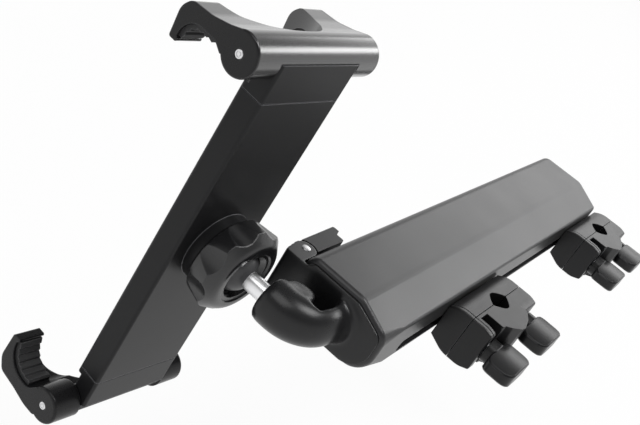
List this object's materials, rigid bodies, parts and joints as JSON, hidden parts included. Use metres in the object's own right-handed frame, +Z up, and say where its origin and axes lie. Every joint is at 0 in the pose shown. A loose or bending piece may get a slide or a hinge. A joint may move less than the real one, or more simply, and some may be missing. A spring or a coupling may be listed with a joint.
{
  "type": "headrest car holder",
  "caption": "Bar that clamps to headrest posts, with a pull-out ball-joint arm and a spring cradle with folding hook jaws.",
  "frame": {"origin": "axis of the near clamp's post, level with the clamp's top face", "axes": "+Z up along the headrest posts, +X along the bar towards the far post, +Y from the seat towards the passenger"},
  "size_m": [0.2717, 0.1195, 0.1433],
  "materials": {
    "bar_plastic": "satin",
    "arm_metal": "satin",
    "block_plastic": "satin",
    "clamp_plastic": "satin",
    "knob_plastic": "satin",
    "cradle_plastic": "satin",
    "jaw_plastic": "satin",
    "nut_plastic": "satin",
    "ball_plastic": "satin",
    "ring_plastic": "natural",
    "pad_rubber": "matte",
    "stem_chrome": "polished",
    "pin_steel": "bright",
    "screw_steel": "zinc"
  },
  "bodies": {
    "bar": {"bar_housing": "bar_plastic"},
    "arm": {"inner_arm": "arm_metal", "arm_glide": "ring_plastic", "arm_screws": "screw_steel", "end_block": "block_plastic", "lever_pin": "pin_steel", "ball_stem": "stem_chrome", "ball": "ball_plastic"},
    "lever": {"lock_lever": "block_plastic"},
    "seat_ring_1": {"inner_seat_ring": "ring_plastic"},
    "seat_ring_2": {"outer_seat_ring": "ring_plastic"},
    "cradle": {"cradle_shell": "cradle_plastic", "front_cover": "cradle_plastic", "cover_screws": "screw_steel", "return_spring": "screw_steel", "lower_end": "cradle_plastic"},
    "nut": {"ball_nut": "nut_plastic"},
    "slide": {"upper_slide": "cradle_plastic"},
    "jaw_upper": {"upper_jaw": "jaw_plastic", "upper_jaw_pads": "pad_rubber", "upper_jaw_pin": "pin_steel"},
    "jaw_lower": {"lower_jaw": "jaw_plastic", "lower_jaw_pads": "pad_rubber", "lower_jaw_pin": "pin_steel"},
    "near_clamp": {"near_clamp_base": "clamp_plastic", "near_clamp_nuts": "screw_steel", "near_rail_bolt": "screw_steel"},
    "near_jaw": {"near_clamp_jaw": "clamp_plastic"},
    "near_screw_1": {"near_knob_1": "knob_plastic", "near_stud_1": "screw_steel"},
    "near_screw_2": {"near_knob_2": "knob_plastic", "near_stud_2": "screw_steel"},
    "far_clamp": {"far_clamp_base": "clamp_plastic", "far_clamp_nuts": "screw_steel", "far_rail_bolt": "screw_steel"},
    "far_jaw": {"far_clamp_jaw": "clamp_plastic"},
    "far_screw_1": {"far_knob_1": "knob_plastic", "far_stud_1": "screw_steel"},
    "far_screw_2": {"far_knob_2": "knob_plastic", "far_stud_2": "screw_steel"}
  },
  "joints": [
    {"name": "arm_slide", "type": "slide", "parent": "bar", "child": "arm", "axis": [-1, 0, 0], "range_m": [0, 0.12]},
    {"name": "lever_turn", "type": "hinge", "parent": "arm", "child": "lever", "pos_m": [-0.069, 0.0465, -0.0035], "axis": [0, 0, 1], "range_deg": [0, 35]},
    {"name": "ball_swing", "type": "hinge", "parent": "arm", "child": "seat_ring_1", "pos_m": [-0.0906, 0.0555, -0.0035], "axis": [-0.0031, -0.0313, 0.9995], "range_deg": [-5, 25]},
    {"name": "ball_tilt", "type": "hinge", "parent": "seat_ring_1", "child": "seat_ring_2", "pos_m": [-0.0906, 0.0555, -0.0035], "axis": [0.9952, -0.0976, 0], "range_deg": [-20, 20]},
    {"name": "ball_spin", "type": "hinge", "parent": "seat_ring_2", "child": "cradle", "pos_m": [-0.0906, 0.0555, -0.0035], "axis": [0.0975, 0.9947, 0.0314], "continuous": true},
    {"name": "nut_turn", "type": "hinge", "parent": "cradle", "child": "nut", "pos_m": [-0.0906, 0.0555, -0.0035], "axis": [0.0975, 0.9947, 0.0314], "range_deg": [0, 270]},
    {"name": "cradle_slide", "type": "slide", "parent": "cradle", "child": "slide", "axis": [-0.0031, -0.0313, 0.9995], "range_m": [0, 0.075], "stiffness_N_per_m": 120, "springref_m": -0.02, "deforming": ["return_spring"]},
    {"name": "upper_jaw_fold", "type": "hinge", "parent": "slide", "child": "jaw_upper", "pos_m": [-0.08931, 0.06863, 0.06075], "axis": [0.9952, -0.0976, 0], "range_deg": [-60, 0]},
    {"name": "lower_jaw_fold", "type": "hinge", "parent": "cradle", "child": "jaw_lower", "pos_m": [-0.08891, 0.07273, -0.07039], "axis": [0.9952, -0.0976, 0], "range_deg": [0, 60]},
    {"name": "near_clamp_slide", "type": "slide", "parent": "bar", "child": "near_clamp", "axis": [1, 0, 0], "range_m": [-0.038, 0.035]},
    {"name": "near_jaw_open", "type": "slide", "parent": "near_clamp", "child": "near_jaw", "axis": [0, -1, 0], "range_m": [0, 0.005]},
    {"name": "near_knob_turn_1", "type": "hinge", "parent": "near_jaw", "child": "near_screw_1", "pos_m": [-0.017, -0.0087, -0.0087], "axis": [0, -1, 0], "range_deg": [0, 2251]},
    {"name": "near_knob_turn_2", "type": "hinge", "parent": "near_jaw", "child": "near_screw_2", "pos_m": [0.017, -0.0087, -0.0087], "axis": [0, -1, 0], "range_deg": [0, 2251]},
    {"name": "far_clamp_slide", "type": "slide", "parent": "bar", "child": "far_clamp", "axis": [1, 0, 0], "range_m": [-0.035, 0.002]},
    {"name": "far_jaw_open", "type": "slide", "parent": "far_clamp", "child": "far_jaw", "axis": [0, -1, 0], "range_m": [0, 0.005]},
    {"name": "far_knob_turn_1", "type": "hinge", "parent": "far_jaw", "child": "far_screw_1", "pos_m": [0.11, -0.0087, -0.0087], "axis": [0, -1, 0], "range_deg": [0, 2251]},
    {"name": "far_knob_turn_2", "type": "hinge", "parent": "far_jaw", "child": "far_screw_2", "pos_m": [0.144, -0.0087, -0.0087], "axis": [0, -1, 0], "range_deg": [0, 2251]}
  ],
  "couplings": [
    {"joint": "near_knob_turn_1", "follows": "near_jaw_open", "rad_per_m": 7854},
    {"joint": "near_knob_turn_2", "follows": "near_jaw_open", "rad_per_m": 7854},
    {"joint": "far_knob_turn_1", "follows": "far_jaw_open", "rad_per_m": 7854},
    {"joint": "far_knob_turn_2", "follows": "far_jaw_open", "rad_per_m": 7854}
  ]
}
